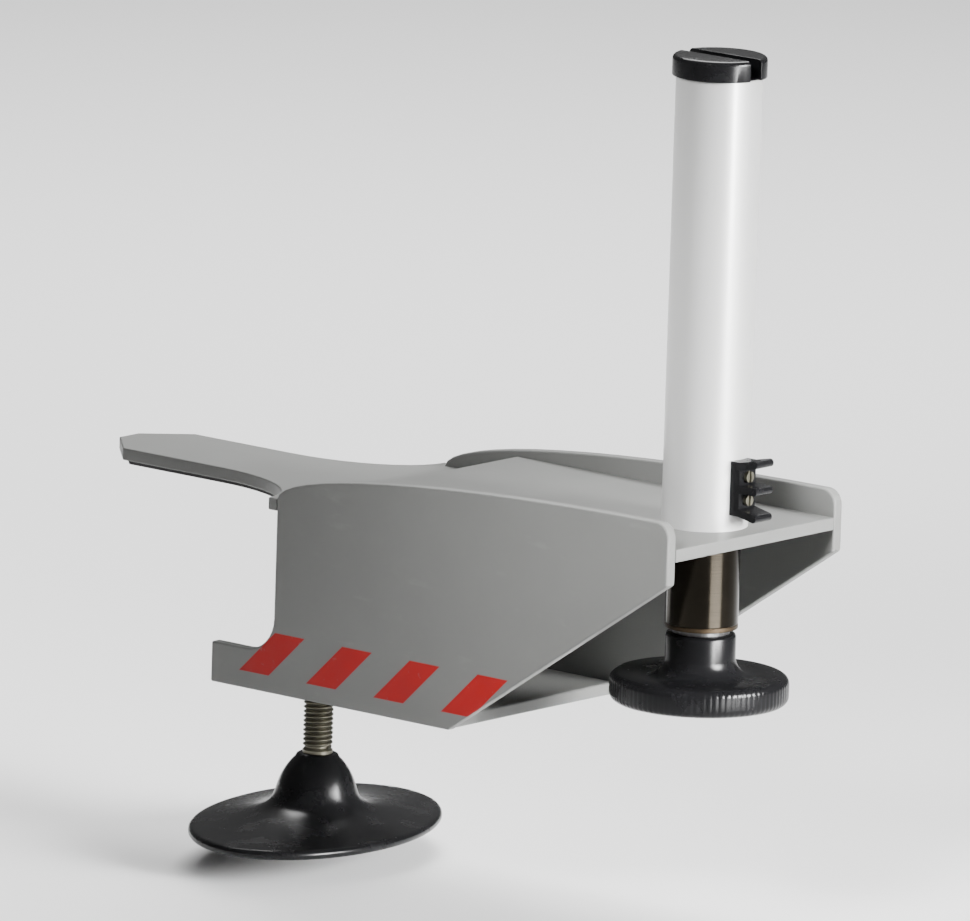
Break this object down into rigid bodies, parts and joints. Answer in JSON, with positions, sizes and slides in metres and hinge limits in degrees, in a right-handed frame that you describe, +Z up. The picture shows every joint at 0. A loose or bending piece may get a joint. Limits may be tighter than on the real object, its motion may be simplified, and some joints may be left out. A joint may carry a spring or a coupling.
{
  "type": "table tennis net clamp",
  "caption": "Table tennis net clamp: flat tongue, sheet metal bracket, round post with cord groove, height knob, and a clamp screw with oval knob and swivel foot.",
  "frame": {"origin": "where the table top meets the side edge of the board, in the net's plane; the soft pad under the tongue rests there", "axes": "+Z up along the post, +X away from the table along the net's line, +Y along the edge of the board"},
  "size_m": [0.266, 0.1092, 0.269],
  "materials": {
    "bracket_paint": "satin",
    "soft_pad": "matte",
    "plated_steel": "satin",
    "dark_chrome": "polished",
    "bronze": "satin",
    "post_aluminium": "satin",
    "black_plastic": "satin",
    "spring_steel": "satin"
  },
  "bodies": {
    "bracket": {"near_cheek": "bracket_paint", "far_cheek": "bracket_paint", "bottom_plate": "bracket_paint", "tongue_plate": "bracket_paint", "tongue_pad": "soft_pad", "clamp_nut": "plated_steel", "guide_tube": "dark_chrome", "guide_bush": "bronze"},
    "post": {"post_tube": "post_aluminium", "post_cap": "black_plastic", "lift_nut": "plated_steel", "cord_cleat": "black_plastic", "cleat_screws": "plated_steel"},
    "adjuster": {"height_spindle": "plated_steel", "height_knob": "black_plastic", "thrust_washer": "plated_steel", "spindle_clip": "spring_steel", "height_knob_pin": "plated_steel"},
    "stud": {"ball_stud": "plated_steel"},
    "screw": {"clamp_screw": "plated_steel", "clamp_knob": "black_plastic", "knob_pin": "plated_steel", "knob_cover": "black_plastic"},
    "foot": {"foot_cup": "plated_steel", "foot_pad": "soft_pad", "foot_ring": "spring_steel"}
  },
  "joints": [
    {"name": "height_turn", "type": "hinge", "parent": "bracket", "child": "adjuster", "pos_m": [0.139, 0, -0.02], "axis": [0, 0, -1], "range_deg": [0, 2250]},
    {"name": "post_rise", "type": "slide", "parent": "bracket", "child": "post", "axis": [0, 0, 1], "range_m": [0, 0.008]},
    {"name": "clamp_travel", "type": "slide", "parent": "bracket", "child": "stud", "axis": [0, 0, 1], "range_m": [-0.009, 0.023]},
    {"name": "clamp_turn", "type": "hinge", "parent": "stud", "child": "screw", "pos_m": [-0.016, 0, -0.06], "axis": [0, 0, 1], "range_deg": [-2150, 5500]},
    {"name": "foot_tilt", "type": "hinge", "parent": "stud", "child": "foot", "pos_m": [-0.016, 0, -0.0332], "axis": [0, 1, 0], "range_deg": [-6, 6]}
  ],
  "couplings": [
    {"joint": "post_rise", "follows": "height_turn", "m_per_rad": 0.00019894},
    {"joint": "clamp_travel", "follows": "clamp_turn", "m_per_rad": 0.00023873}
  ]
}
